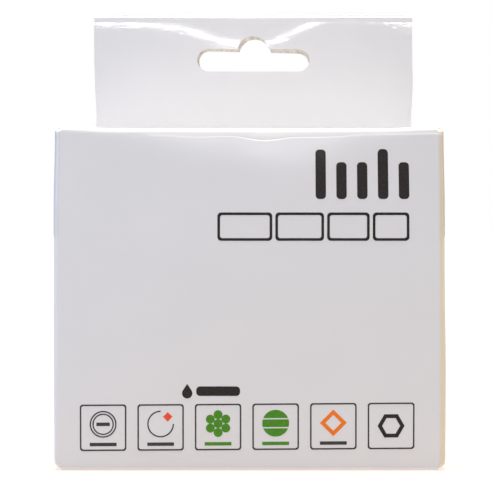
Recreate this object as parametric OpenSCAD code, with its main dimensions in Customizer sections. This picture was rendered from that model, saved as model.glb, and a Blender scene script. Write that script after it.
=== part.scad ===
// Closed hang-tab carton for a small boxed refill, folded from one sheet of laminated board.
// The origin is the middle of the carton's foot print, +Z is up and the printed front faces -Y.

/* [Body] */
// Width over the two side panels
body_w = 102; // [80:1:140]
// Depth from the front panel to the back panel
body_d = 38; // [25:1:60]
// Height from the bottom closure to the lid
body_h = 90; // [70:1:130]

/* [Board] */
// Thickness of the board
board_t = 0.45; // [0.3:0.05:0.7]
// Outer radius of the upright folds
fold_r = 1.6; // [1:0.1:2.5]
// Outer radius of the folds where lid and bottom leave the front panel
lid_r = 1.1; // [0.8:0.1:1.9]
// Outer radius of the folds where lid and bottom turn down inside the back panel
tuck_r = 1.8; // [1:0.1:2.5]
// Outer radius of the folds where the dust flaps leave the side panels
flap_r = 1.5; // [1:0.1:2.5]

/* [Closures] */
// How far the cut ends of lid and bottom stay in from the upright folds
lid_set = 0.1; // [0.1:0.1:2]
// How far the dust flaps stay in from the upright folds
flap_set = 0.4; // [0.1:0.1:3]
// How far the upright folds end below the lid and above the foot
corner_set = 0.8; // [0.4:0.1:1.9]
// How far the cut edge of the back panel stays below the lid and above the foot
back_set = 0.4; // [0.2:0.1:1]
// How far the glued side panel's raw edge stays in from the back
seam_set = 0.6; // [0.3:0.1:0.9]

/* [Header] */
// Width of the hang tab
header_w = 91; // [70:1:100]
// Height of the hang tab above the lid
header_h = 34; // [30:1:50]
// Space between the two plies of the hang tab
ply_gap = 0.1; // [0.05:0.05:0.3]

/* [Hang slot] */
// Length of the slot over its round ends
slot_w = 32; // [30:0.5:36]
// Height of the slot's straight arms
slot_arm_h = 6.4; // [5.5:0.1:7.5]
// Diameter of the round peg notch
notch_d = 9.2; // [8:0.1:10]
// How far the notch rises above the arms
notch_rise = 3.7; // [3:0.1:4.2]
// Height of the slot's lower edge above the lid
slot_foot = 18.2; // [14:0.1:20]
// How far the rear ply's slot lies below the front one
ply_slot_drop = 1.1; // [0.5:0.1:1.5]
// How far each end of the rear ply's slot stays in from the front one
ply_slot_in = 0.4; // [0.1:0.1:0.8]

/* [Print] */
// Thickness that stands for the ink
film_t = 0.05; // [0.02:0.01:0.1]
// Gap between two blocks of a printed row
block_gap = 0.8; // [0.4:0.1:1.5]
// Corner radius of the printed blocks
block_r = 1; // [0.4:0.1:1.4]

/* [Title rows] */
// Distance from the right side of the carton to the title rows
title_right = 9.3; // [5:0.1:14]
// Distance from the lid to the bold row
bold_top = 6.2; // [4:0.1:12]
// Length of the bold row
bold_row_w = 24.4; // [18:0.1:34]
// Width of a bar of the bold row
bold_w = 2.7; // [2.2:0.1:3.5]
// Height of its tall bars
bold_h = 12.9; // [8:0.1:15]
// Height of its low bars
bold_low_h = 9.6; // [5:0.1:11]
// Space between the bold row and the light row
row_space = 3.5; // [2:0.1:8]
// Height of the light row
light_h = 7.4; // [4:0.1:9]
// Width of the first light block
light_w = 14.3; // [11:0.1:16]
// Line of the light row
light_line = 0.7; // [0.4:0.05:1]
// How much narrower each block is than the one before it
block_step = 1.6; // [0.5:0.1:2]

/* [Colour mark] */
// Distance from the left side of the carton to the drop
drop_left = 33.5; // [25:0.1:45]
// Space between the badges and the colour mark above them
mark_gap = 1.55; // [0.8:0.05:4]
// Width of the drop
drop_w = 2.7; // [2:0.1:4]
// Height of the drop
drop_h = 3.8; // [3:0.1:5]
// Space between drop and bar
drop_gap = 1; // [0.5:0.1:2]
// Length of the colour bar
bar_w = 11.4; // [8:0.1:16]
// Height of the colour bar
bar_h = 2.5; // [2.2:0.1:3.5]

/* [Badges] */
// Number of badges in the row
badge_n = 6; // [6:1:6]
// Outer size of a badge frame
badge_w = 12.15; // [11:0.05:13]
// Line of a badge frame
badge_line = 0.4; // [0.25:0.05:0.6]
// Corner radius of a badge frame
badge_r = 0.8; // [0.7:0.1:1.5]
// Distance from the left side of the carton to the first badge
badge_left = 6.7; // [4:0.1:9]
// Distance from the right side of the carton to the last badge
badge_right = 8; // [4:0.1:10]
// Distance from the foot of the carton to the badges
badge_foot = 5.2; // [3:0.1:6]
// Radius of the round motifs
motif_r = 3.5; // [3:0.1:4]
// Height of the motifs' middle above the middle of the badge
motif_lift = 0.9; // [0.5:0.1:1.2]
// Line of the bold motifs
motif_line = 1; // [0.6:0.1:1.3]
// Line of the fine motifs
fine_line = 0.35; // [0.25:0.05:0.6]
// Length of the bar under a motif
foot_bar_w = 7; // [5:0.1:8]
// Height of the bar under a motif
foot_bar_h = 0.9; // [0.6:0.05:1]
// Height of that bar's middle above the foot of the badge
foot_bar_up = 1.7; // [1.4:0.1:2]

/* [Hidden] */
$fn = 64;

// How far a cut runs past the face that it opens
cut = 1;

// Places of the carton's faces, with the box centred over the print too
front_y = (film_t - body_d) / 2;
back_y = front_y + body_d;
side_x = body_w / 2;
header_top = body_h + header_h;

// Height at which the four panels start to be closed all round, and end as far below the lid
score_z = board_t + flap_r;

// Outer radius of the hang tab's top fold, and the front of the ply that comes down in front
bead_r = board_t + ply_gap / 2;
ply_y = back_y - 2 * bead_r;

// Numbers of bars and blocks in the printed rows
bold_n = 5;
light_n = 4;
petal_n = 6;

mark_foot = badge_foot + badge_w + mark_gap;
light_top = bold_top + bold_h + row_space;
bold_pitch = (bold_row_w - bold_w) / (bold_n - 1);
badge_pitch = (body_w - badge_left - badge_right - badge_w) / (badge_n - 1);

// Place of block i in the light row, whose blocks get narrower by block_step each, and its width
function block_x(i) = i * (light_w + block_gap) - block_step * i * (i - 1) / 2;
function block_w(i) = light_w - block_step * i;
// Every third bar of the bold row is a tall one
function bar_height(i) = i % 3 == 0 ? bold_h : bold_low_h;

// Rectangle with its corner at the origin, whose left and right corners have their own radii
module rounded(w, h, r_left, r_right) {
    translate([r_left, 0]) square([w - r_left - r_right, h]);
    translate([0, r_left]) square([r_left, h - 2 * r_left]);
    translate([w - r_right, r_right]) square([r_right, h - 2 * r_right]);
    for (z = [0, 1]) {
        translate([r_left, r_left + z * (h - 2 * r_left)]) circle(r_left);
        translate([w - r_right, r_right + z * (h - 2 * r_right)]) circle(r_right);
    }
}

// Extrusions along X of a side outline drawn in Y and Z, and along Y of a front outline in X and Z
module along_x(x, length) translate([x, 0, 0]) rotate([90, 0, 90]) linear_extrude(length) children();
module along_y(y, length) translate([0, y + length, 0]) rotate([90, 0, 0]) linear_extrude(length) children();

// Plan of the four panels, with the raw edge of the glue seam at the rear left corner
module plan() {
    translate([board_t - side_x, front_y]) rounded(body_w - board_t, body_d, fold_r, fold_r);
    translate([fold_r - side_x, front_y + fold_r]) circle(fold_r);
    translate([fold_r - side_x, front_y]) square([fold_r, fold_r]);
    translate([-side_x, front_y + fold_r]) square([2 * fold_r, body_d - fold_r - seam_set]);
}

// The four panels, and the upright folds that run on between the scored ends of the flaps
module tube() {
    translate([0, 0, score_z]) linear_extrude(body_h - 2 * score_z) plan();
    translate([0, 0, corner_set]) linear_extrude(body_h - 2 * corner_set) intersection() {
        plan();
        for (y = [front_y, back_y - fold_r]) {
            translate([side_x - fold_r, y]) square([fold_r, fold_r]);
            translate([-side_x, y]) square([fold_r, fold_r]);
        }
    }
}

// Front panel, lid and bottom in one strip, with both ends turned in before the hang tab's front ply
module closures() {
    inset = fold_r + lid_set;
    along_x(inset - side_x, body_w - 2 * inset)
        translate([front_y, 0]) rounded(ply_y - front_y, body_h, lid_r, tuck_r);
}

// Side panels with their dust flaps folded in under the lid and over the bottom
module dust_flaps() {
    inset = fold_r + flap_set;
    along_y(front_y + inset, body_d - 2 * inset)
        translate([-side_x, board_t]) rounded(body_w, body_h - 2 * board_t, flap_r, flap_r);
}

// Back panel up to its cut shoulders beside the hang tab
module back_panel() {
    inset = board_t + fold_r;
    along_y(back_y - board_t, board_t)
        translate([inset - side_x, back_set]) square([body_w - 2 * inset, body_h - 2 * back_set]);
}

// Side outline of the hang tab: the back panel goes up, over the fold and down in front of itself
module hairpin() {
    foot = body_h - score_z - cut;
    for (y = [ply_y, back_y - board_t])
        translate([y, foot]) square([board_t, header_top - bead_r - foot]);
    translate([back_y - bead_r, header_top - bead_r]) intersection() {
        difference() {
            circle(bead_r);
            circle(ply_gap / 2);
        }
        translate([-bead_r, 0]) square([2 * bead_r, bead_r]);
    }
}

// Outline of the hang slot: straight arms with round ends, and the peg notch above their middle
module slot_outline(length) {
    end_r = slot_arm_h / 2;
    translate([end_r - length / 2, 0]) square([length - 2 * end_r, slot_arm_h]);
    for (side = [-1, 1]) translate([side * (length / 2 - end_r), end_r]) circle(end_r);
    translate([0, slot_arm_h + notch_rise - notch_d / 2]) circle(d = notch_d);
}

// Hang tab with its slot through both plies
module header() difference() {
    along_x(-header_w / 2, header_w) hairpin();
    along_y(ply_y - cut, bead_r + cut)
        translate([0, body_h + slot_foot]) slot_outline(slot_w);
    along_y(back_y - bead_r, bead_r + cut)
        translate([0, body_h + slot_foot - ply_slot_drop]) slot_outline(slot_w - 2 * ply_slot_in);
}

module carton() color([0.85, 0.85, 0.86]) {
    tube();
    closures();
    dust_flaps();
    back_panel();
    header();
}

// A film of ink on the front panel, drawn in X and Z from the carton's lower left corner
module ink() along_y(front_y - film_t, film_t) translate([-side_x, 0]) children();

module block(w, h) rounded(w, h, block_r, block_r);

// Outline of a block, drawn as a line inside its edge
module block_ring(w, h) difference() {
    block(w, h);
    translate([light_line, light_line])
        rounded(w - 2 * light_line, h - 2 * light_line, block_r - light_line / 2, block_r - light_line / 2);
}

// A bold row of tall and low bars over a light row of outlined blocks
module print_title() color([0.14, 0.13, 0.14]) ink() {
    right = body_w - title_right;
    translate([right - bold_row_w, body_h - bold_top - bold_h])
        for (i = [0 : bold_n - 1]) translate([i * bold_pitch, 0]) block(bold_w, bar_height(i));
    translate([right - block_x(light_n) + block_gap, body_h - light_top - light_h])
        for (i = [0 : light_n - 1]) translate([block_x(i), 0]) block_ring(block_w(i), light_h);
}

// Drop with a round foot and straight flanks that touch it, its tip at the given height
module drop(w, h) {
    r = w / 2;
    tip = h - r;
    lean = asin(r / tip);
    translate([0, r]) {
        circle(r);
        polygon([[0, 0], [r * cos(lean), r * sin(lean)], [0, tip], [-r * cos(lean), r * sin(lean)]]);
    }
}

module print_colour_mark() color([0.14, 0.13, 0.14]) ink() {
    translate([drop_left + drop_w / 2, mark_foot]) drop(drop_w, drop_h);
    translate([drop_left + drop_w + drop_gap, mark_foot + (drop_h - bar_h) / 2]) block(bar_w, bar_h);
}

// Lower left corner of badge i, its middle, and the middle of its motif
module at_badge(i) translate([badge_left + i * badge_pitch, badge_foot]) children();
module at_middle(i) at_badge(i) translate([badge_w / 2, badge_w / 2]) children();
module at_motif(i) at_middle(i) translate([0, motif_lift]) children();

module ring(r, line) difference() {
    circle(r);
    circle(r - line);
}

// Bar under the motif of badge i
module foot_bar(i)
    at_badge(i) translate([(badge_w - foot_bar_w) / 2, foot_bar_up - foot_bar_h / 2])
        square([foot_bar_w, foot_bar_h]);

module print_badge_frames() color([0.37, 0.36, 0.37]) ink()
    for (i = [0 : badge_n - 1]) at_badge(i) difference() {
        rounded(badge_w, badge_w, badge_r, badge_r);
        translate([badge_line, badge_line])
            rounded(badge_w - 2 * badge_line, badge_w - 2 * badge_line,
                    badge_r - badge_line / 2, badge_r - badge_line / 2);
    }

// Double ring with a bar across it, and the ring of the second badge
module print_badge_grey() color([0.42, 0.41, 0.42]) ink() {
    at_motif(0) {
        ring(motif_r, fine_line);
        ring(motif_r - 2 * fine_line, fine_line);
        square([motif_r, foot_bar_h], center = true);
    }
    foot_bar(0);
    at_motif(1) difference() {
        ring(motif_r, fine_line);
        square(motif_r + cut);
    }
    foot_bar(1);
    foot_bar(4);
}

// Six-petal flower, and a disc cut into three stripes
module print_badge_green() color([0.32, 0.56, 0.24]) ink() {
    petal_r = motif_r / 3;
    at_motif(2) {
        for (i = [0 : petal_n - 1]) rotate(i * 360 / petal_n) translate([0, motif_r - petal_r]) circle(petal_r);
        circle(petal_r);
    }
    foot_bar(2);
    at_motif(3) difference() {
        circle(motif_r);
        for (side = [-1, 1]) translate([0, side * motif_r / 3])
            square([2 * motif_r + cut, fine_line], center = true);
    }
    foot_bar(3);
}

// Square ring set on its corner
module print_badge_orange() color([0.93, 0.49, 0.16]) ink()
    at_motif(4) rotate(45) difference() {
        side = motif_r * sqrt(2);
        square(side, center = true);
        square(side - 2 * motif_line, center = true);
    }

// Small square set on its corner in the gap of the second badge's ring
module print_badge_red() color([0.86, 0.32, 0.22]) ink()
    at_motif(1) rotate(45) translate([motif_r / 2, -motif_r / 4]) square(motif_r / 2);

// Hexagon ring in the middle of the last badge
module print_badge_black() color([0.14, 0.13, 0.14]) ink()
    at_middle(badge_n - 1) difference() {
        circle(motif_r, $fn = 6);
        circle(motif_r - motif_line / cos(30), $fn = 6);
    }

carton();
print_title();
print_colour_mark();
print_badge_frames();
print_badge_grey();
print_badge_green();
print_badge_orange();
print_badge_red();
print_badge_black();
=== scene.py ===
"""A closed hang-tab carton, folded from one blank of laminated board, with its printed front.

The blank is built flat-faced from its folds, its hang slot is cut through both plies of the tab, and
then the handling of a real carton is put in: bowed panels, a soft top crease and a tab bent a little.
"""

import logging
import math
from collections.abc import Callable
from dataclasses import dataclass, field
from enum import Enum

import bmesh
import bpy
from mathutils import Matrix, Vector, noise


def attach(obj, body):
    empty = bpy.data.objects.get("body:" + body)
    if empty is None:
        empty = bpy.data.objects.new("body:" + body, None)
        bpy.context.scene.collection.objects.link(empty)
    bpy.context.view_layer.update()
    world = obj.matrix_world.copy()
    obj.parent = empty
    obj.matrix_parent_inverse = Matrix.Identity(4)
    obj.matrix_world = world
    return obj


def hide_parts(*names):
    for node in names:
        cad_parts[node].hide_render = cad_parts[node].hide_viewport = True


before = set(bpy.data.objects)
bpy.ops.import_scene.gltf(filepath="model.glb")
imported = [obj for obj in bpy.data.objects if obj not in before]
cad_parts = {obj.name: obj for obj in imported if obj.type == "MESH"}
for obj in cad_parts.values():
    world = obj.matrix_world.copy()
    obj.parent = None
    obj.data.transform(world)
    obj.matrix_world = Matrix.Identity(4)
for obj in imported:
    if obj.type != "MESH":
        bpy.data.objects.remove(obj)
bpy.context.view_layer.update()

MM = 0.001
BODY = "root"
FILM_IOR = 1.5

Pair = tuple[float, float]
Triple = tuple[float, float, float]
Colour = tuple[float, float, float, float]
Socket = bpy.types.NodeSocket

log = logging.getLogger("carton")


class Side(Enum):
    """What a face of the folded board shows."""

    LAMINATE = 0
    CUT_EDGE = 1
    INSIDE = 2


class Panel(Enum):
    """The panels that the upright folds part, and the folds themselves."""

    GLUE_FLAP = "glue_flap"
    BACK = "back"
    RIGHT = "right"
    FRONT = "front"
    LEFT = "left"
    FOLD = "fold"


class End(Enum):
    """The two closed ends of the carton, with the way that each one faces."""

    LID = 1
    FOOT = -1


class Ply(Enum):
    """The two plies of the hang tab."""

    FRONT = "front"
    REAR = "rear"


def smooth_step(low: float, high: float, value: float) -> float:
    """Goes smoothly from 0 at low to 1 at high."""
    t = min(max((value - low) / (high - low), 0.0), 1.0)
    return t * t * (3.0 - 2.0 * t)


def steps(start: float, end: float, pitch: float) -> list[float]:
    """Even steps of about the given pitch from start to end, both included."""
    count = max(1, round(abs(end - start) / pitch))
    return [start + (end - start) * i / count for i in range(count + 1)]


def linear(red: int, green: int, blue: int) -> Colour:
    """Turns a colour as a screen shows it into the renderer's linear one.

    Args:
        red: Red, 0 to 255.
        green: Green, 0 to 255.
        blue: Blue, 0 to 255.

    Returns:
        The colour at full opacity.
    """
    parts = []
    for value in (red, green, blue):
        share = value / 255.0
        parts.append(share / 12.92 if share <= 0.04045 else ((share + 0.055) / 1.055) ** 2.4)
    return (*parts, 1.0)


def placed(name: str, data: bpy.types.ID) -> bpy.types.Object:
    """Makes an object of a mesh, light or camera.

    Args:
        name: The object's name.
        data: What it holds.

    Returns:
        The new object, linked to the scene.
    """
    obj = bpy.data.objects.new(name, data)
    bpy.context.scene.collection.objects.link(obj)
    return obj


def closed_object(name: str, points: list[Triple], faces: list[list[int]],
                  kinds: list[int]) -> bpy.types.Object:
    """Makes an object of faces that close round it, with all normals outwards.

    Args:
        name: Name of the object and its mesh.
        points: Its points, in millimetres.
        faces: The points of each face.
        kinds: The material number of each face.

    Returns:
        The new object, linked to the scene.
    """
    mesh = bpy.data.meshes.new(name)
    mesh.from_pydata(points, [], faces)
    mesh.polygons.foreach_set("material_index", kinds)
    solid = bmesh.new()
    solid.from_mesh(mesh)
    bmesh.ops.recalc_face_normals(solid, faces=solid.faces)
    solid.to_mesh(mesh)
    solid.free()
    return placed(name, mesh)


@dataclass(frozen=True)
class Column:
    """One upright line of the blank: its place in plan, its outward direction and its panel."""

    x: float
    y: float
    nx: float
    ny: float
    panel: Panel


@dataclass(frozen=True)
class Station:
    """A point on a folding path: how far in from the panel, how high, and the turn of the face."""

    inset: float
    z: float
    turn: float


class BoardMesh:
    """Gathers the faces of a thin folded sheet as pairs of an outer and an inner point."""

    def __init__(self, thickness: float) -> None:
        """Starts with no points.

        Args:
            thickness: Thickness of the board in millimetres.
        """
        self.thickness = thickness
        self.outer: list[Vector] = []
        self.inner: list[Vector] = []
        self.quads: list[tuple[int, int, int, int]] = []

    def point(self, column: Column, station: Station) -> int:
        """Adds the point of a column at a station of its folding path.

        Args:
            column: The upright line that the point belongs to.
            station: The place on the path, with the turn of the face in radians from upright.

        Returns:
            The number of the new pair of points.
        """
        out = Vector((column.nx, column.ny, 0.0))
        face = out * math.cos(station.turn) + Vector((0.0, 0.0, math.sin(station.turn)))
        at = Vector((column.x, column.y, station.z)) - out * station.inset
        self.outer.append(at)
        self.inner.append(at - face * self.thickness)
        return len(self.outer) - 1

    def strip(self, low: list[int], high: list[int]) -> None:
        """Joins two rows of points with quads."""
        for i in range(len(low) - 1):
            self.quads.append((low[i], low[i + 1], high[i + 1], high[i]))

    def extend(self, base: list[int], columns: list[Column], path: list[Station]) -> None:
        """Carries the sheet on from a row of points along a folding path.

        Args:
            base: The row that the new part starts from.
            columns: The columns of that row.
            path: The stations after the row, in order.
        """
        row = base
        for station in path:
            new = [self.point(c, station) for c in columns]
            self.strip(row, new)
            row = new

    def build(self, name: str) -> bpy.types.Object:
        """Makes the closed mesh, in millimetres, with walls where the sheet is cut.

        Args:
            name: Name of the object and its mesh.

        Returns:
            The new object, linked to the scene.
        """
        count = len(self.outer)
        faces = [list(q) for q in self.quads]
        kinds = [Side.LAMINATE.value] * len(faces)
        faces += [[i + count for i in reversed(q)] for q in self.quads]
        kinds += [Side.INSIDE.value] * len(self.quads)
        used: dict[tuple[int, int], int] = {}
        for quad in self.quads:
            for a, b in zip(quad, quad[1:] + quad[:1]):
                key = (min(a, b), max(a, b))
                used[key] = used.get(key, 0) + 1
        for (a, b), times in used.items():
            if times == 1:
                faces.append([a, b, b + count, a + count])
                kinds.append(Side.CUT_EDGE.value)
        return closed_object(name, [tuple(v) for v in self.outer + self.inner], faces, kinds)


@dataclass
class Blank:
    """The carton's one sheet of board, in millimetres, with its panels, flaps and hang tab."""

    width: float = 102.0
    depth: float = 38.0
    height: float = 90.0
    print_film: float = 0.05
    thickness: float = 0.45
    fold_radius: float = 1.6
    lid_radius: float = 1.1
    tuck_radius: float = 1.8
    flap_radius: float = 1.5
    lid_set: float = 0.04
    flap_set: float = 0.4
    corner_radius: float = 1.3
    corner_turn: float = 60.0
    back_set: float = 0.4
    seam_set: float = 0.6
    ply_gap: float = 0.1
    tab_width: float = 91.0
    tab_height: float = 34.0
    tuck_length: float = 14.0
    dust_flap_length: float = 26.0
    glue_flap_length: float = 12.0
    ply_foot: float = 12.0
    slack: float = 0.04
    pitch: float = 1.3
    fine_pitch: float = 0.4
    crease_pitch: float = 0.2
    crease_zone: float = 5.0
    fold_steps: int = 7
    same: float = 1e-6
    columns: list[Column] = field(default_factory=list)

    @property
    def front_y(self) -> float:
        """Plane of the front panel."""
        return (self.print_film - self.depth) / 2

    @property
    def back_y(self) -> float:
        """Plane of the back panel."""
        return self.front_y + self.depth

    @property
    def bead(self) -> float:
        """Outer radius of the tab's top fold."""
        return self.thickness + self.ply_gap / 2

    @property
    def score_z(self) -> float:
        """Height at which the upright folds start above the foot, and end below the lid."""
        return self.thickness + self.flap_radius

    @property
    def lid_half(self) -> float:
        """Half the width of lid and bottom."""
        return self.width / 2 - self.fold_radius - self.lid_set

    @property
    def flap_inset(self) -> float:
        """How far the dust flaps start in from front and back."""
        return self.fold_radius + self.flap_set

    def flat(self, start: Pair, end: Pair, out: Pair,
             panel: Panel, marks: tuple[float, ...] = ()) -> None:
        """Adds the columns of a flat panel, with a column at each mark along it.

        Args:
            start: Where the panel starts in plan.
            end: Where it ends.
            out: Its outward direction.
            panel: Which panel it is.
            marks: Coordinates along the panel where flaps or the tab start and end.
        """
        along = 0 if abs(end[0] - start[0]) > abs(end[1] - start[1]) else 1
        rising = end[along] > start[along]
        stops = sorted([start[along], *marks, end[along]], reverse=not rising)
        places = [stops[0]]
        for a, b in zip(stops, stops[1:]):
            places += steps(a, b, self.pitch)[1:]
        for place in places:
            x, y = (place, start[1]) if along == 0 else (start[0], place)
            self.columns.append(Column(x, y, out[0], out[1], panel))

    def corner(self, cx: float, cy: float, start_deg: float) -> None:
        """Adds the inner columns of an upright fold that turns clockwise by a right angle.

        Args:
            cx: X of the fold's middle.
            cy: Y of the fold's middle.
            start_deg: Direction that the panel before the fold faces, in degrees.
        """
        r = self.fold_radius
        for i in range(1, self.fold_steps):
            a = math.radians(start_deg - 90.0 * i / self.fold_steps)
            nx, ny = math.cos(a), math.sin(a)
            self.columns.append(Column(cx + r * nx, cy + r * ny, nx, ny, Panel.FOLD))

    def walk_round(self) -> None:
        """Lays out all columns, from the glue flap round the back, right and front to the left side."""
        r = self.fold_radius
        side, front, back = self.width / 2, self.front_y, self.back_y
        inner_side = side - self.thickness - self.slack
        tab = self.tab_width / 2
        flap_marks = (front + self.flap_inset, back - self.flap_inset)
        lid_marks = (-self.lid_half, self.lid_half)
        seam = back - r
        flap_end = seam - self.glue_flap_length
        self.flat((-inner_side, flap_end), (-inner_side, seam), (-1, 0), Panel.GLUE_FLAP)
        self.corner(r - inner_side, back - r, 180.0)
        self.flat((r - inner_side, back), (side - r, back), (0, 1), Panel.BACK, (-tab, tab))
        self.corner(side - r, back - r, 90.0)
        self.flat((side, back - r), (side, front + r), (1, 0), Panel.RIGHT, flap_marks)
        self.corner(side - r, front + r, 0.0)
        self.flat((side - r, front), (r - side, front), (0, -1), Panel.FRONT, lid_marks)
        self.corner(r - side, front + r, -90.0)
        self.flat((-side, front + r), (-side, back - self.seam_set), (-1, 0), Panel.LEFT, flap_marks)

    def arc(self, inset: float, z: float, radius: float, start: float, end: float) -> list[Station]:
        """Stations round a fold.

        Args:
            inset: Inset of the fold's middle.
            z: Height of the fold's middle.
            radius: Outer radius.
            start: Turn of the face at the start, in degrees from upright.
            end: Turn at the end.

        Returns:
            The stations after the start of the fold, in order.
        """
        count = max(2, round(self.fold_steps * abs(end - start) / 90.0))
        turns = [math.radians(start + (end - start) * i / count) for i in range(1, count + 1)]
        return [Station(inset - radius * math.cos(a), z + radius * math.sin(a), a) for a in turns]

    def run(self, inset: Pair, z: Pair, turn: float,
            pitch: float | None = None) -> list[Station]:
        """Stations along a flat stretch of a folding path, after its start.

        Args:
            inset: Inset at the start and at the end.
            z: Height at the start and at the end.
            turn: Turn of the face, in degrees from upright.
            pitch: Spacing of the stations, or None for the usual one.

        Returns:
            The stations after the start, in order.
        """
        length = math.hypot(inset[1] - inset[0], z[1] - z[0])
        shares = steps(0.0, 1.0, (pitch or self.pitch) / length)[1:]
        a = math.radians(turn)
        return [Station(inset[0] + (inset[1] - inset[0]) * s, z[0] + (z[1] - z[0]) * s, a) for s in shares]

    def edge(self, end: End) -> float:
        """Height of a closed end's outer face."""
        return self.height if end is End.LID else 0.0

    def closure(self, end: End) -> list[Station]:
        """Folding path of the lid or the bottom, with its tuck flap.

        Args:
            end: The end that it closes.

        Returns:
            The stations from the front panel's scored end to the tuck flap's cut edge.
        """
        edge, sign = self.edge(end), end.value
        inside = self.depth - 2 * self.bead - self.slack
        start = edge - sign * self.score_z
        fold = edge - sign * self.lid_radius
        tuck = edge - sign * self.tuck_radius
        path = self.run((0.0, 0.0), (start, fold), 0.0, self.fine_pitch)
        path += self.arc(self.lid_radius, fold, self.lid_radius, 0.0, sign * 90.0)
        path += self.run((self.lid_radius, inside - self.tuck_radius), (edge, edge), sign * 90.0)
        path += self.arc(inside - self.tuck_radius, tuck, self.tuck_radius, sign * 90.0, sign * 180.0)
        path += self.run((inside, inside), (tuck, tuck - sign * self.tuck_length), sign * 180.0)
        return path

    def dust_flap(self, end: End) -> list[Station]:
        """Folding path of a dust flap under the lid or over the bottom.

        Args:
            end: The end that it lies at.

        Returns:
            The stations from the side panel's scored end to the flap's cut edge.
        """
        start = self.edge(end) - end.value * self.score_z
        r = self.flap_radius - self.slack
        top = start + end.value * r
        turn = end.value * 90.0
        path = self.arc(r, start, r, 0.0, turn)
        return path + self.run((r, self.dust_flap_length), (top, top), turn, 2 * self.pitch)

    def tab(self) -> list[Station]:
        """Folding path of the hang tab: up from the back panel, over and down in front of itself.

        Returns:
            The stations from the back panel's scored end to the front ply's cut edge.
        """
        fold = self.height + self.tab_height - self.bead
        path = self.run((0.0, 0.0), (self.height - self.score_z, fold), 0.0)
        path += self.arc(self.bead, fold, self.bead, 0.0, 180.0)
        inset = 2 * self.bead
        return path + self.run((inset, inset), (fold, self.height - self.ply_foot), 180.0)

    def build(self) -> bpy.types.Object:
        """Builds the folded sheet before its slot is cut and it is bent by handling.

        Returns:
            The carton's object, still in millimetres.
        """
        self.walk_round()
        low, high = self.score_z, self.height - self.score_z
        fine_from = high - self.crease_zone
        rows = steps(low, fine_from, self.pitch) + steps(fine_from, high, self.crease_pitch)[1:]
        board = BoardMesh(self.thickness)
        grid = [[board.point(c, Station(0.0, z, 0.0)) for c in self.columns] for z in rows]
        for a, b in zip(grid, grid[1:]):
            board.strip(a, b)
        self.close_end(board, End.LID, grid[-1], high)
        self.close_end(board, End.FOOT, grid[0], low)
        end_run = self.run((0.0, 0.0), (low, self.back_set), 0.0, self.fine_pitch)
        shoulder = self.run((0.0, 0.0), (high, self.height - self.back_set), 0.0, self.fine_pitch)
        inside, outside = self.tab_width / 2 + self.same, self.tab_width / 2 - self.same
        self.add(board, grid[0], lambda c: c.panel is Panel.BACK, end_run)
        self.add(board, grid[-1], lambda c: c.panel is Panel.BACK and c.x < -outside, shoulder)
        self.add(board, grid[-1], lambda c: c.panel is Panel.BACK and c.x > outside, shoulder)
        self.add(board, grid[-1], lambda c: c.panel is Panel.BACK and abs(c.x) < inside, self.tab())
        return board.build("carton_board")

    def close_end(self, board: BoardMesh, end: End, row: list[int], level: float) -> None:
        """Folds the flaps of an end, and curls in the ends of its upright folds.

        Args:
            board: The sheet.
            end: The end to close.
            row: The points along its score.
            level: Height of the score.
        """
        curl = self.corner_radius
        turned_in = self.arc(curl, level, curl, 0.0, end.value * self.corner_turn)
        for first, last in self.fold_spans():
            board.extend(row[first:last], self.columns[first:last], turned_in)
        lid = self.lid_half + self.same
        self.add(board, row, lambda c: c.panel is Panel.FRONT and abs(c.x) < lid, self.closure(end))
        low = self.front_y + self.flap_inset - self.same
        high = self.back_y - self.flap_inset + self.same
        for side in (Panel.RIGHT, Panel.LEFT):
            self.add(board, row, lambda c, s=side: c.panel is s and low < c.y < high, self.dust_flap(end))

    def fold_spans(self) -> list[tuple[int, int]]:
        """Finds the upright folds among the columns.

        Returns:
            For each fold, the span of columns that holds it and the column on either side.
        """
        turning = [i for i, c in enumerate(self.columns) if c.panel is Panel.FOLD]
        starts = [i for i in turning if i - 1 not in turning]
        ends = [i for i in turning if i + 1 not in turning]
        return [(a - 1, b + 2) for a, b in zip(starts, ends)]

    def add(self, board: BoardMesh, row: list[int], chosen: Callable[[Column], bool],
            path: list[Station]) -> None:
        """Extends the sheet from the columns that a test chooses."""
        picked = [(i, c) for i, c in zip(row, self.columns) if chosen(c)]
        board.extend([i for i, _ in picked], [c for _, c in picked], path)


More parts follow.
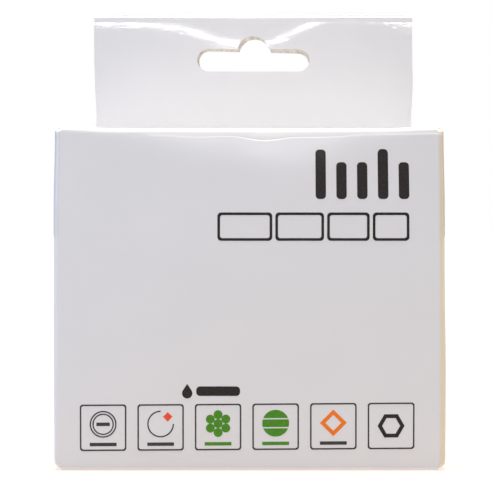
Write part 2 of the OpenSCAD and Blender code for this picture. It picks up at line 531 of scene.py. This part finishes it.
@dataclass(frozen=True)
class HangSlot:
    """The peg slot, in millimetres: straight arms with round ends and a round notch above."""

    length: float = 32.0
    arm: float = 6.4
    notch: float = 9.2
    rise: float = 3.7
    foot: float = 18.2
    ply_drop: float = 0.9
    ply_in: float = 0.25
    ply_shift: float = 0.1
    ply_notch_shift: float = 0.35
    ply_turn_deg: float = -1.4
    arc_step_deg: float = 7.5
    reach: float = 3.0

    def outline(self, length: float, notch_x: float) -> list[Pair]:
        """Outline of the slot, from its lower left, against the clock.

        Args:
            length: Length over the round ends.
            notch_x: Place of the notch's middle.

        Returns:
            Points in X and Z, with Z from the slot's lower edge.
        """
        r = self.arm / 2
        notch_r = self.notch / 2
        notch_z = self.arm + self.rise - notch_r
        dip = math.degrees(math.asin((self.arm - notch_z) / notch_r))
        points = self.arc(length / 2 - r, r, r, -90.0, 90.0)
        points += self.arc(notch_x, notch_z, notch_r, dip, 180.0 - dip)
        points += self.arc(r - length / 2, r, r, 90.0, 270.0)
        return points

    def arc(self, x: float, z: float, r: float, start: float, end: float) -> list[Pair]:
        """Points on an arc, both ends included."""
        turns = [math.radians(a) for a in steps(start, end, self.arc_step_deg)]
        return [(x + r * math.cos(a), z + r * math.sin(a)) for a in turns]

    def turned(self, ring: list[Pair]) -> list[Pair]:
        """Turns an outline a little round its foot and shifts it sideways.

        Args:
            ring: The outline, in X and Z.

        Returns:
            The rear ply's outline.
        """
        a = math.radians(self.ply_turn_deg)
        c, s = math.cos(a), math.sin(a)
        return [(self.ply_shift + x * c - z * s, x * s + z * c) for x, z in ring]

    def cutter(self, blank: Blank, ply: Ply) -> bpy.types.Object:
        """Makes the prism that cuts one ply of the tab.

        Args:
            blank: The carton's blank, for the places of the plies.
            ply: The ply to cut.

        Returns:
            The cutting object, in millimetres.
        """
        foot = blank.height + self.foot
        low_y = high_y = blank.back_y - blank.bead
        if ply is Ply.FRONT:
            ring = self.outline(self.length, 0.0)
            low_y -= self.reach
        else:
            ring = self.turned(self.outline(self.length - 2 * self.ply_in, self.ply_notch_shift))
            foot -= self.ply_drop
            high_y += self.reach
        points = [(x, y, foot + z) for y in (low_y, high_y) for x, z in ring]
        n = len(ring)
        faces = [list(range(n)), list(range(2 * n - 1, n - 1, -1))]
        faces += [[i, i + n, (i + 1) % n + n, (i + 1) % n] for i in range(n)]
        return closed_object("slot_cutter", points, faces, [Side.CUT_EDGE.value] * len(faces))

    def cut(self, board: bpy.types.Object, blank: Blank) -> None:
        """Cuts the slot through both plies and takes the cutters away again.

        Args:
            board: The folded sheet with its materials.
            blank: The blank that it was folded from.
        """
        for ply in Ply:
            cutter = self.cutter(blank, ply)
            for material in board.data.materials:
                cutter.data.materials.append(material)
            knife = board.modifiers.new("slot", "BOOLEAN")
            knife.operation = "DIFFERENCE"
            knife.solver = "EXACT"
            knife.object = cutter
            graph = bpy.context.evaluated_depsgraph_get()
            cut_mesh = bpy.data.meshes.new_from_object(board.evaluated_get(graph))
            board.modifiers.clear()
            old = board.data
            board.data = cut_mesh
            cut_mesh.name = old.name
            bpy.data.meshes.remove(old)
            bpy.data.objects.remove(cutter)


@dataclass
class Handling:
    """How the folded carton departs from flat panels and straight folds, in millimetres.

    A zone gives the place where a movement starts and the place where it is full. Places run from -1 to 1
    across, through the depth or up the height, or are in millimetres where the name says so.
    """

    blank: Blank
    front_bow: float = 0.35
    front_zone: Pair = (0.3, -1.0)
    back_bow: float = 0.3
    back_zone: Pair = (-0.3, 1.0)
    side_bow: float = 0.45
    side_zone: Pair = (0.6, 1.0)
    side_bow_ends: float = 0.35
    side_spread: float = 0.12
    foot_spread: float = 0.34
    foot_zone: Pair = (0.2, -0.5)
    body_zone: Pair = (1.2, 0.9)
    foot_pinch: float = 0.35
    foot_pinch_zone: Pair = (-0.93, -1.0)
    top_pinch: float = 0.2
    top_pinch_zone: Pair = (0.55, 0.9)
    lid_sag: float = 0.3
    lid_zone: Pair = (0.9, 1.0)
    lid_reach: float = 0.5
    edge_sag: float = 0.5
    edge_sag_mm: Pair = (49.0, 36.0)
    edge_zone: Pair = (0.2, -0.6)
    crease_row: float = 87.25
    crease_step: float = 0.09
    crease_step_mm: Pair = (-29.0, -24.0)
    crease_lean: float = 0.095
    crease_curl: float = 0.022
    crease_soft: float = 0.22
    crease_depth: float = 0.7
    crease_reach: float = 12.0
    soft_reach: float = 5.0
    tab_depth: float = 3.0
    tab_bend: float = 0.0115
    tab_bend_x: float = 1.0
    tab_bend_left: float = 15.0
    tab_bend_right: float = 10.0
    tab_taper: float = 0.55
    taper_reach: float = 8.0
    rear_zone: Pair = (0.9, 1.0)
    tab_flare: float = 0.5
    flare_mm: Pair = (4.0, 16.0)
    tab_rise: float = 0.45
    tab_lean: float = 0.05
    tab_skew: float = 0.25
    skew_start_mm: Pair = (0.0, 4.0)
    skew_end_mm: Pair = (26.0, 12.0)
    ripple: float = 0.05
    ripple_size: float = 24.0
    crease_points: tuple[Pair, ...] = (
        (-30.0, 88.3), (-24.2, 87.8), (-13.0, 87.3), (-5.1, 87.5), (3.9, 86.3), (12.7, 87.2), (21.0, 87.3),
        (31.0, 88.0), (40.0, 88.1))

    def crease_z(self, x: float) -> float:
        """Finds the height of the soft crease under the top fold.

        Args:
            x: Place across the front.

        Returns:
            The crease's height there.
        """
        points = self.crease_points
        if x <= points[0][0]:
            return points[0][1]
        for (x0, z0), (x1, z1) in zip(points, points[1:]):
            if x <= x1:
                return z0 + (z1 - z0) * smooth_step(x0, x1, x)
        return points[-1][1]

    def shift(self, p: Vector) -> Vector:
        """Displacement of a point of the flat-faced carton.

        Args:
            p: The point, in millimetres.

        Returns:
            How far it moves.
        """
        b = self.blank
        u = p.x / (b.width / 2)
        v = (p.y - (b.front_y + b.back_y) / 2) / (b.depth / 2)
        w = 2 * p.z / b.height - 1
        upright = 1 - min(max(w, -1.0), 1.0) ** 2
        across = max(0.0, 1 - u * u)
        deep = max(0.0, 1 - v * v)
        move = self.crease(p) + self.tab_shift(p)
        move.y -= smooth_step(*self.front_zone, v) * self.front_bow * across * upright
        move.y += smooth_step(*self.back_zone, v) * self.back_bow * across * upright
        move.y += math.copysign(1.0, v) * noise.noise(p / self.ripple_size) * self.ripple
        side_bow = self.side_bow * (self.side_bow_ends + (1 - self.side_bow_ends) * deep)
        move.x += math.copysign(smooth_step(*self.side_zone, abs(u)), u) * side_bow * upright
        spread = self.side_spread if u < 0 else self.foot_spread * smooth_step(*self.foot_zone, w)
        spread *= smooth_step(*self.body_zone, w)
        spread -= self.foot_pinch * smooth_step(*self.foot_pinch_zone, w)
        spread -= self.top_pinch * smooth_step(*self.top_pinch_zone, w)
        move.x += u * (spread - self.taper(p.z) * smooth_step(*self.rear_zone, v))
        lid = smooth_step(*self.lid_zone, w)
        move.z -= lid * self.lid_sag * across * deep
        if p.z < b.height + self.lid_reach:
            edge = smooth_step(*self.edge_sag_mm, abs(p.x))
            move.z -= lid * self.edge_sag * edge * smooth_step(*self.edge_zone, v)
        return move

    def taper(self, z: float) -> float:
        """How far the hang tab draws in, most of all at its foot.

        Args:
            z: Height of the point.

        Returns:
            How far a point at the tab's edge moves in.
        """
        foot = self.blank.height
        rising = smooth_step(foot - self.taper_reach, foot, z)
        return self.tab_taper * rising * smooth_step(foot + self.blank.tab_height, foot, z)

    def crease(self, p: Vector) -> Vector:
        """Shapes the soft crease, a low step that wanders across the front under a strip that leans back.

        Args:
            p: The point of the flat-faced carton, in millimetres.

        Returns:
            How far it moves.
        """
        b = self.blank
        low, top = b.height - b.score_z - b.crease_zone, b.height - b.lid_radius
        if p.z < self.crease_row:
            share = (p.z - low) / (self.crease_row - low)
        else:
            share = (top - p.z) / (top - self.crease_row)
        fade = smooth_step(b.front_y + self.crease_reach, b.front_y, p.y)
        wander = (self.crease_z(p.x) - self.crease_row) * max(share, 0.0) * fade
        above = p.z + wander - self.crease_z(p.x)
        lean = self.crease_lean * self.ramp(above) + self.crease_curl * max(above, 0.0) ** 2
        push = min(lean, self.crease_depth)
        if p.z > self.crease_row - b.crease_pitch / 2:
            push += self.crease_step * smooth_step(*self.crease_step_mm, p.x)
        return Vector((0.0, push * fade, wander))

    def ramp(self, value: float) -> float:
        """Rises from 0 to the value itself, with a soft bend between.

        Args:
            value: Height above the crease.

        Returns:
            The risen value.
        """
        if value <= -self.soft_reach * self.crease_soft:
            return 0.0
        return 0.5 * (value + math.hypot(value, self.crease_soft))

    def tab_shift(self, p: Vector) -> Vector:
        """Bends the hang tab back, most of all above its slot, and spreads it a little upwards.

        Args:
            p: The point of the flat-faced carton, in millimetres.

        Returns:
            How far it moves.
        """
        above = p.z - self.blank.height
        if above <= 0.0 or p.y < self.blank.back_y - self.tab_depth:
            return Vector((0.0, 0.0, 0.0))
        reach = self.tab_bend_left if p.x < self.tab_bend_x else self.tab_bend_right
        bell = math.exp(-0.5 * ((p.x - self.tab_bend_x) / reach) ** 2)
        back = (self.tab_lean + self.tab_bend * bell) * above
        flare = self.tab_flare * smooth_step(*self.flare_mm, above) * 2 * p.x / self.blank.width
        skew = smooth_step(*self.skew_start_mm, above) * smooth_step(*self.skew_end_mm, above)
        rise = self.tab_rise * above / self.blank.tab_height
        return Vector((flare + self.tab_skew * skew, back, rise))

    def bend(self, obj: bpy.types.Object) -> None:
        """Moves every point of an object and turns its millimetres to metres."""
        for vert in obj.data.vertices:
            vert.co = (vert.co + self.shift(vert.co)) * MM


class Finish:
    """Shared steps of the procedural finishes."""

    name: str

    def start(self) -> tuple[bpy.types.Material, bpy.types.Node]:
        """Makes the material.

        Returns:
            The material and its main shader.
        """
        material = bpy.data.materials.new(self.name)
        material.use_nodes = True
        return material, material.node_tree.nodes["Principled BSDF"]

    @staticmethod
    def add(material: bpy.types.Material, kind: str, **values: object) -> bpy.types.Node:
        """Adds a node and sets its plain properties and inputs.

        Args:
            material: The material that gets the node.
            kind: The node's type.
            **values: Properties by name, or inputs by name with spaces as underscores.

        Returns:
            The new node.
        """
        node = material.node_tree.nodes.new(kind)
        for key, value in values.items():
            if hasattr(node, key):
                setattr(node, key, value)
            else:
                node.inputs[key.replace("_", " ")].default_value = value
        return node

    @staticmethod
    def join(material: bpy.types.Material, *pairs: tuple[Socket, Socket]) -> None:
        """Links outputs to inputs, given as (output socket, input socket)."""
        for out, into in pairs:
            material.node_tree.links.new(out, into)

    def place(self, material: bpy.types.Material) -> Socket:
        """Gives the place in the object's own space, in metres."""
        return self.add(material, "ShaderNodeTexCoord").outputs["Object"]

    def grain(self, material: bpy.types.Material, size: Pair) -> Socket:
        """Adds fine noise that lies in the object's own space.

        Args:
            material: The material.
            size: The noise's scale per metre and its detail.

        Returns:
            The noise, from 0 to 1.
        """
        texture = self.add(material, "ShaderNodeTexNoise", Scale=size[0], Detail=size[1])
        self.join(material, (self.place(material), texture.inputs["Vector"]))
        return texture.outputs["Fac"]

    def fade(self, material: bpy.types.Material, value: Socket, zone: Pair, full: float = 1.0) -> Socket:
        """Rises smoothly with a value.

        Args:
            material: The material.
            value: The value that drives it.
            zone: The value where the rise starts and the one where it ends.
            full: The height of the rise.

        Returns:
            The risen value.
        """
        node = self.add(material, "ShaderNodeMapRange", interpolation_type="SMOOTHSTEP", To_Max=full)
        node.inputs["From Min"].default_value, node.inputs["From Max"].default_value = zone
        self.join(material, (value, node.inputs["Value"]))
        return node.outputs["Result"]

    def mix(self, material: bpy.types.Material, share: Socket, second: Colour) -> bpy.types.Node:
        """Adds a mix of two colours, of which the caller gives the first.

        Args:
            material: The material.
            share: The share of the second colour.
            second: That colour.

        Returns:
            The mixing node.
        """
        node = self.add(material, "ShaderNodeMix", data_type="RGBA")
        node.inputs["B"].default_value = second
        self.join(material, (share, node.inputs["Factor"]))
        return node

    def tint(self, material: bpy.types.Material, factor: Socket, dark: Colour, light: Colour,
             zone: Pair = (0.3, 0.7)) -> Socket:
        """Adds a ramp from a dark to a light colour.

        Args:
            material: The material.
            factor: The value that drives the ramp.
            dark: Colour at its start.
            light: Colour at its end.
            zone: The values where the ramp starts and ends.

        Returns:
            The colour.
        """
        ramp = self.add(material, "ShaderNodeValToRGB")
        for stop, position, colour in zip(ramp.color_ramp.elements, zone, (dark, light)):
            stop.position = position
            stop.color = colour
        self.join(material, (factor, ramp.inputs["Fac"]))
        return ramp.outputs["Color"]

    def rough(self, material: bpy.types.Material, shader: bpy.types.Node, factor: Socket,
              span: Pair) -> None:
        """Lets the roughness vary.

        Args:
            material: The material.
            shader: Its main shader.
            factor: The value that drives the roughness.
            span: The lowest and the highest roughness.
        """
        node = self.add(material, "ShaderNodeMapRange")
        node.inputs["To Min"].default_value, node.inputs["To Max"].default_value = span
        self.join(material, (factor, node.inputs["Value"]),
                  (node.outputs["Result"], shader.inputs["Roughness"]))

    def bump(self, material: bpy.types.Material, shader: bpy.types.Node,
             heights: list[tuple[Socket, float]]) -> None:
        """Stacks bumps on the shader's normal and on that of its gloss coat.

        Args:
            material: The material.
            shader: Its main shader.
            heights: Pairs of a height socket and the bump's distance in metres.
        """
        last = None
        for height, distance in heights:
            node = self.add(material, "ShaderNodeBump", Strength=1.0, Distance=distance)
            self.join(material, (height, node.inputs["Height"]))
            if last is not None:
                self.join(material, (last.outputs["Normal"], node.inputs["Normal"]))
            last = node
        self.join(material, (last.outputs["Normal"], shader.inputs["Normal"]),
                  (last.outputs["Normal"], shader.inputs["Coat Normal"]))

    @staticmethod
    def gloss(shader: bpy.types.Node, weight: float, roughness: float, specular: float) -> None:
        """Lays the clear film over the colour.

        Args:
            shader: The main shader.
            weight: Strength of the film's gloss.
            roughness: Its roughness.
            specular: Gloss of what lies under the film.
        """
        shader.inputs["Coat Weight"].default_value = weight
        shader.inputs["Coat Roughness"].default_value = roughness
        shader.inputs["Coat IOR"].default_value = FILM_IOR
        shader.inputs["Specular IOR Level"].default_value = specular

    @staticmethod
    def matt(shader: bpy.types.Node, colour: Colour, roughness: float = 0.9) -> None:
        """Makes the main shader a plain matt sheet.

        Args:
            shader: The main shader.
            colour: The sheet's colour.
            roughness: Its roughness.
        """
        shader.inputs["Base Color"].default_value = colour
        shader.inputs["Roughness"].default_value = roughness
        shader.inputs["Specular IOR Level"].default_value = 0.0


@dataclass(frozen=True)
class Laminate(Finish):
    """White coated board under a clear gloss film."""

    name: str = "gloss_laminate"
    dark: Colour = linear(218, 218, 220)
    light: Colour = linear(220, 220, 222)
    # Painted warm reflection: a beige tint that stands in for warm light on the right front fold.
    painted_warm_reflection: Colour = linear(222, 212, 188)
    mottle: Pair = (60.0, 3.0)
    peel: Pair = (700.0, 2.0)
    peel_height: float = 0.0000038
    wave: Pair = (110.0, 1.0)
    wave_height: float = 0.000003
    roughness: Pair = (0.3, 0.42)
    coat_weight: float = 1.0
    coat_roughness: float = 0.032
    specular: float = 0.3
    # Where the painted warm reflection lies across the right front fold, in metres.
    reflection_x: Pair = (0.0492, 0.0503)
    reflection_y: Pair = (-0.0165, -0.0178)

    def make(self) -> bpy.types.Material:
        """Builds the material: mottled white with a painted warm reflection on the right front fold, a
        smooth film, and the slight peel of the coating.

        Returns:
            The new material.
        """
        material, shader = self.start()
        mottle = self.grain(material, self.mottle)
        peel = self.grain(material, self.peel)
        wave = self.grain(material, self.wave)
        # Mixes the painted warm reflection into the colour on the right front fold.
        reflection_mix = self.mix(material, self.warm_reflection_share(material), self.painted_warm_reflection)
        self.join(material, (self.tint(material, mottle, self.dark, self.light), reflection_mix.inputs["A"]),
                  (reflection_mix.outputs["Result"], shader.inputs["Base Color"]))
        self.rough(material, shader, mottle, self.roughness)
        self.bump(material, shader, [(peel, self.peel_height), (wave, self.wave_height)])
        self.gloss(shader, self.coat_weight, self.coat_roughness, self.specular)
        return material

    def warm_reflection_share(self, material: bpy.types.Material) -> Socket:
        """Marks the right front fold, where a beige tint is painted in as a warm reflection.

        Args:
            material: The laminate's material.

        Returns:
            A value that is 1 on the fold and 0 on the panels.
        """
        parts = self.add(material, "ShaderNodeSeparateXYZ")
        self.join(material, (self.place(material), parts.inputs["Vector"]))
        both = self.add(material, "ShaderNodeMath", operation="MULTIPLY")
        self.join(material, (self.fade(material, parts.outputs["X"], self.reflection_x), both.inputs[0]),
                  (self.fade(material, parts.outputs["Y"], self.reflection_y), both.inputs[1]))
        return both.outputs["Value"]


@dataclass(frozen=True)
class RawBoard(Finish):
    """Uncoated pulp, as on the inside of the board and at its cut edges."""

    name: str = "raw_board"
    dark: Colour = linear(186, 179, 168)
    light: Colour = linear(226, 219, 208)
    fibres: Pair = (900.0, 6.0)
    fibre_height: float = 0.00002
    clouds: Pair = (150.0, 3.0)
    roughness: Pair = (0.8, 0.95)
    specular: float = 0.2

    def make(self) -> bpy.types.Material:
        """Builds the material: speckled beige pulp with a fibrous bump.

        Returns:
            The new material.
        """
        material, shader = self.start()
        fibres = self.grain(material, self.fibres)
        clouds = self.grain(material, self.clouds)
        colour = self.tint(material, fibres, self.dark, self.light)
        self.join(material, (colour, shader.inputs["Base Color"]))
        self.rough(material, shader, clouds, self.roughness)
        self.bump(material, shader, [(fibres, self.fibre_height)])
        shader.inputs["Specular IOR Level"].default_value = self.specular
        return material


@dataclass(frozen=True)
class Ink(Finish):
    """A printed colour under the gloss film."""

    name: str
    dark: Colour
    light: Colour
    speckle: Pair = (1400.0, 4.0)
    wave: Pair = (110.0, 1.0)
    wave_height: float = 0.000003
    roughness: Pair = (0.3, 0.45)
    coat_weight: float = 0.25
    coat_roughness: float = 0.045
    specular: float = 0.1

    def make(self) -> bpy.types.Material:
        """Builds the material: slightly uneven ink with the film's gloss and waves.

        Returns:
            The new material.
        """
        material, shader = self.start()
        speckle = self.grain(material, self.speckle)
        wave = self.grain(material, self.wave)
        colour = self.tint(material, speckle, self.dark, self.light)
        self.join(material, (colour, shader.inputs["Base Color"]))
        self.rough(material, shader, speckle, self.roughness)
        self.bump(material, shader, [(wave, self.wave_height)])
        self.gloss(shader, self.coat_weight, self.coat_roughness, self.specular)
        return material


INKS = (
    Ink("black_ink", linear(27, 21, 20), linear(42, 34, 31)),
    Ink("grey_ink", linear(50, 48, 50), linear(66, 63, 66)),
    Ink("green_ink", linear(60, 130, 14), linear(78, 142, 30)),
    Ink("orange_ink", linear(236, 114, 10), linear(242, 126, 24)),
    Ink("red_ink", linear(232, 70, 34), linear(240, 84, 48)),
)


@dataclass(frozen=True)
class StudioPaper(Finish):
    """The pale floor, a sheet lit from below."""

    name: str = "studio_paper"
    base: Colour = (0.12, 0.12, 0.12, 1.0)
    near: Colour = (0.91, 0.79, 0.72, 1.0)
    far: Colour = (0.79, 0.778, 0.792, 1.0)
    pool: Pair = (0.04, 0.2)

    def make(self) -> bpy.types.Material:
        """Builds the floor's matt sheet, which a table light shines through, warmer round the carton.

        Returns:
            The new material.
        """
        material, shader = self.start()
        self.matt(shader, self.base)
        away = self.add(material, "ShaderNodeVectorMath", operation="LENGTH")
        self.join(material, (self.place(material), away.inputs[0]))
        glow = self.mix(material, self.fade(material, away.outputs["Value"], self.pool), self.far)
        glow.inputs["A"].default_value = self.near
        self.join(material, (glow.outputs["Result"], shader.inputs["Emission Color"]))
        shader.inputs["Emission Strength"].default_value = 1.0
        return material


@dataclass(frozen=True)
class CardPaper(Finish):
    """A pale card that stands in front of the carton and glows most round one spot."""

    name: str = "card_paper"
    base: Colour = (0.05, 0.05, 0.05, 1.0)
    light: Colour = (1.0, 0.985, 1.02, 1.0)
    even: float = 1.18
    even_zone: Pair = (0.17, -0.08)
    spot: float = 3.3
    spot_size: Pair = (0.25, 0.08)
    spot_zone: Pair = (0.0, 0.62)

    def make(self) -> bpy.types.Material:
        """Builds the card's glow: even at its foot, none at its top, and a soft bright spot at its origin.

        Returns:
            The new material.
        """
        material, shader = self.start()
        self.matt(shader, self.base)
        place = self.place(material)
        parts = self.add(material, "ShaderNodeSeparateXYZ")
        wide, high = self.spot_size
        scale = self.add(material, "ShaderNodeMapping", Scale=(1.0 / wide, 1.0, 1.0 / high))
        ball = self.add(material, "ShaderNodeTexGradient", gradient_type="SPHERICAL")
        self.join(material, (place, parts.inputs["Vector"]), (place, scale.inputs["Vector"]),
                  (scale.outputs["Vector"], ball.inputs["Vector"]))
        even = self.fade(material, parts.outputs["Z"], self.even_zone, self.even)
        spot = self.fade(material, ball.outputs["Fac"], self.spot_zone, self.spot)
        total = self.add(material, "ShaderNodeMath", operation="ADD")
        self.join(material, (even, total.inputs[0]), (spot, total.inputs[1]),
                  (total.outputs["Value"], shader.inputs["Emission Strength"]))
        shader.inputs["Emission Color"].default_value = self.light
        return material


@dataclass
class Carton:
    """The folded, handled and dressed board."""

    blank: Blank
    slot: HangSlot
    handling: Handling
    sharp_deg: float = 34.0

    def make(self) -> bpy.types.Object:
        """Builds the board's piece.

        Returns:
            The piece that stands for the carton's solid.
        """
        board = self.blank.build()
        raw = RawBoard().make()
        for material in (Laminate().make(), raw, raw):
            board.data.materials.append(material)
        self.slot.cut(board, self.blank)
        self.handling.bend(board)
        board.data.shade_smooth()
        board.data.set_sharp_from_angle(angle=math.radians(self.sharp_deg))
        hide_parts("carton")
        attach(board, BODY)
        return board


@dataclass
class PrintedFront:
    """The ink on the front panel, laid onto the bowed board as thin films, in millimetres."""

    blank: Blank
    handling: Handling
    film: float = 0.03
    sunk: float = 0.02
    longest_edge: float = 2.5
    same: float = 0.0001
    weld: float = 0.02
    badge_lift: float = 0.21
    badge_tilt: float = 0.0065
    badge_scale: float = 0.9946
    groups: tuple[tuple[str, str, str], ...] = (
        ("print_title", "title_rows", "black_ink"),
        ("print_colour_mark", "colour_mark", "black_ink"),
        ("print_badge_frames", "badge_frames", "grey_ink"),
        ("print_badge_grey", "badge_motifs_grey", "grey_ink"),
        ("print_badge_green", "badge_motifs_green", "green_ink"),
        ("print_badge_orange", "badge_motif_orange", "orange_ink"),
        ("print_badge_red", "badge_motif_red", "red_ink"),
        ("print_badge_black", "badge_motif_black", "black_ink"),
    )

    def lay(self, node: str, name: str, ink: bpy.types.Material) -> bpy.types.Object:
        """Makes the film of one printed group from its outline in the frame.

        Args:
            node: The solid that gives the outline.
            name: Name of the new piece.
            ink: Its material.

        Returns:
            The piece that stands for the solid.
        """
        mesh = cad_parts[node].data.copy()
        mesh.name = name
        mesh.materials.clear()
        mesh.materials.append(ink)
        solid = bmesh.new()
        solid.from_mesh(mesh)
        self.divide(solid)
        for vert in solid.verts:
            vert.co = self.on_board(vert.co / MM, "badge" in node) * MM
        solid.to_mesh(mesh)
        solid.free()
        mesh.polygons.foreach_set("material_index", [0] * len(mesh.polygons))
        mesh.shade_flat()
        obj = placed(name, mesh)
        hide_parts(node)
        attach(obj, BODY)
        return obj

    def divide(self, solid: bmesh.types.BMesh) -> None:
        """Cuts a flat film into short stretches, so that it can follow the bowed board.

        Args:
            solid: The film, in metres.
        """
        near = self.same * MM
        bmesh.ops.remove_doubles(solid, verts=solid.verts, dist=near)
        for axis in (Vector((1.0, 0.0, 0.0)), Vector((0.0, 0.0, 1.0))):
            places = [axis.dot(v.co) for v in solid.verts]
            for place in steps(min(places), max(places), self.longest_edge * MM)[1:-1]:
                parts = [*solid.verts, *solid.edges, *solid.faces]
                bmesh.ops.bisect_plane(solid, geom=parts, dist=near, plane_co=axis * place, plane_no=axis)
        bmesh.ops.remove_doubles(solid, verts=solid.verts, dist=self.weld * MM)

    def on_board(self, at: Vector, badge: bool) -> Vector:
        """Moves a point of a flat film onto the bowed board.

        Args:
            at: The point.
            badge: Whether it belongs to the badge row, which is printed a little askew.

        Returns:
            The point on the board, or the film's thickness before it.
        """
        front = self.blank.front_y
        depth = (at.y - front) / self.blank.print_film
        p = Vector((at.x, front, at.z))
        if badge:
            p.z += self.badge_lift + self.badge_tilt * p.x
            p.x *= self.badge_scale
        moved = p + self.handling.shift(p)
        moved.y += self.sunk + (self.film + self.sunk) * depth
        return moved

    def make(self) -> list[bpy.types.Object]:
        """Lays all printed groups.

        Returns:
            The new pieces.
        """
        inks = {ink.name: ink.make() for ink in INKS}
        return [self.lay(node, name, inks[slot]) for node, name, slot in self.groups]


@dataclass(frozen=True)
class Softbox:
    """A rectangular light, with its place and its size in metres and its power in watts."""

    name: str
    place: Triple
    aim: Triple
    size: Pair
    power: float
    colour: Triple

    def hang(self) -> None:
        """Hangs the light so that it faces its aim and the camera doesn't see it."""
        data = bpy.data.lights.new(self.name, "AREA")
        data.shape = "RECTANGLE"
        data.size, data.size_y = self.size
        data.energy = self.power
        data.color = self.colour
        obj = placed(self.name, data)
        obj.visible_camera = False
        obj.location = self.place
        obj.rotation_euler = (Vector(self.aim) - Vector(self.place)).to_track_quat("-Z", "Y").to_euler()


@dataclass
class Studio:
    """Floor, card, lights and camera, in metres."""

    focal_px: float = 1440.0
    image_w: float = 492.0
    image_h: float = 500.0
    axis_x_px: float = 290.7
    level_y_px: float = 232.4
    camera_x: float = 0.0108
    camera_gap: float = 0.3757
    camera_z: float = 0.0622
    camera_clip: Pair = (0.01, 100.0)
    sensor: float = 36.0
    floor_half: float = 30.0
    card_place: Triple = (-0.02, -1.215, 0.228)
    card_half: float = 0.5
    card_height: float = 0.5
    sun_power: float = 9.6
    sun_colour: Triple = (1.0, 0.94, 0.87)
    sun_spread_deg: float = 16.0
    sky_colour: Colour = (0.95, 1.0, 1.1, 1.0)
    sky_power: float = 0.12
    white: Colour = (1.0, 1.0, 1.0, 1.0)
    softboxes: tuple[Softbox, ...] = (
        Softbox("strip", (0.0, -1.2, 0.429), (0.0, 0.018, 0.12), (1.4, 0.0045), 0.4, (1.0, 1.0, 1.0)),
        Softbox("cool_side", (-0.5, -0.32, 0.2), (-0.04, 0.0, 0.05), (0.25, 0.25), 0.45, (0.3, 0.62, 1.0)),
        Softbox("blue_edge", (-0.2, -0.08, 0.06), (-0.05, 0.0, 0.05), (0.08, 0.1), 0.035, (0.4, 0.5, 1.0)),
        Softbox("warm_side", (1.0, -0.1, 0.25), (0.0, 0.0, 0.05), (0.6, 0.6), 1.0, (1.0, 0.6, 0.25)),
    )

    @staticmethod
    def sheet(name: str, points: list[Triple], material: bpy.types.Material) -> bpy.types.Object:
        """Makes a flat sheet of the studio.

        Args:
            name: Its name.
            points: Its four corners, against the clock as seen from its bright side.
            material: Its material.

        Returns:
            The sheet, which is no part of the carton.
        """
        mesh = bpy.data.meshes.new(name)
        mesh.from_pydata(points, [], [(0, 1, 2, 3)])
        mesh.materials.append(material)
        obj = placed(name, mesh)
        return obj

    def card(self) -> None:
        """Stands the glowing card in front of the carton, behind the camera."""
        x, low = self.card_half, -self.card_place[2]
        top = self.card_height + low
        corners = [(-x, 0.0, low), (-x, 0.0, top), (x, 0.0, top), (x, 0.0, low)]
        self.sheet("card", corners, CardPaper().make()).location = self.card_place

    def floor(self) -> None:
        """Lays the pale floor."""
        half = self.floor_half
        corners = [(-half, -half, 0.0), (half, -half, 0.0), (half, half, 0.0), (-half, half, 0.0)]
        self.sheet("floor", corners, StudioPaper().make())

    def camera(self, blank: Blank) -> None:
        """Sets the camera at the photograph's viewing angle.

        Args:
            blank: The carton's blank, for the place of its front.
        """
        data = bpy.data.cameras.new("camera")
        data.sensor_width = self.sensor
        data.lens = self.focal_px * self.sensor / self.image_h
        data.shift_x = (self.image_w / 2 - self.axis_x_px) / self.image_h
        data.shift_y = (self.level_y_px - self.image_h / 2) / self.image_h
        data.clip_start, data.clip_end = self.camera_clip
        obj = placed("camera", data)
        obj.location = (self.camera_x, blank.front_y * MM - self.camera_gap, self.camera_z)
        obj.rotation_euler = (math.radians(90.0), 0.0, 0.0)
        bpy.context.scene.camera = obj

    def lights(self) -> None:
        """Hangs the lights: a wide one that shines straight down, and the softboxes."""
        sun = bpy.data.lights.new("overhead", "SUN")
        sun.energy = self.sun_power
        sun.color = self.sun_colour
        sun.angle = math.radians(self.sun_spread_deg)
        placed("overhead", sun)
        for softbox in self.softboxes:
            softbox.hang()

    def sky(self) -> None:
        """Sets a dim sky, which the camera sees as white."""
        world = bpy.data.worlds.new("sky")
        bpy.context.scene.world = world
        world.use_nodes = True
        nodes, links = world.node_tree.nodes, world.node_tree.links
        dim = nodes["Background"]
        dim.inputs["Color"].default_value = self.sky_colour
        dim.inputs["Strength"].default_value = self.sky_power
        bright = nodes.new("ShaderNodeBackground")
        bright.inputs["Color"].default_value = self.white
        bright.inputs["Strength"].default_value = 1.0
        path = nodes.new("ShaderNodeLightPath")
        mix = nodes.new("ShaderNodeMixShader")
        links.new(path.outputs["Is Camera Ray"], mix.inputs["Fac"])
        links.new(dim.outputs["Background"], mix.inputs[1])
        links.new(bright.outputs["Background"], mix.inputs[2])
        links.new(mix.outputs["Shader"], nodes["World Output"].inputs["Surface"])
        bpy.context.scene.view_settings.view_transform = "Standard"


def main() -> None:
    """Builds camera, carton, print and studio in order, and reports each piece."""
    logging.basicConfig(level=logging.INFO)
    blank = Blank()
    studio = Studio()
    studio.camera(blank)
    handling = Handling(blank)
    carton = Carton(blank, HangSlot(), handling).make()
    films = PrintedFront(blank, handling).make()
    for piece in (carton, *films):
        log.info("%s: %d faces", piece.name, len(piece.data.polygons))
    studio.floor()
    studio.card()
    studio.lights()
    studio.sky()


if __name__ == "__main__":
    main()
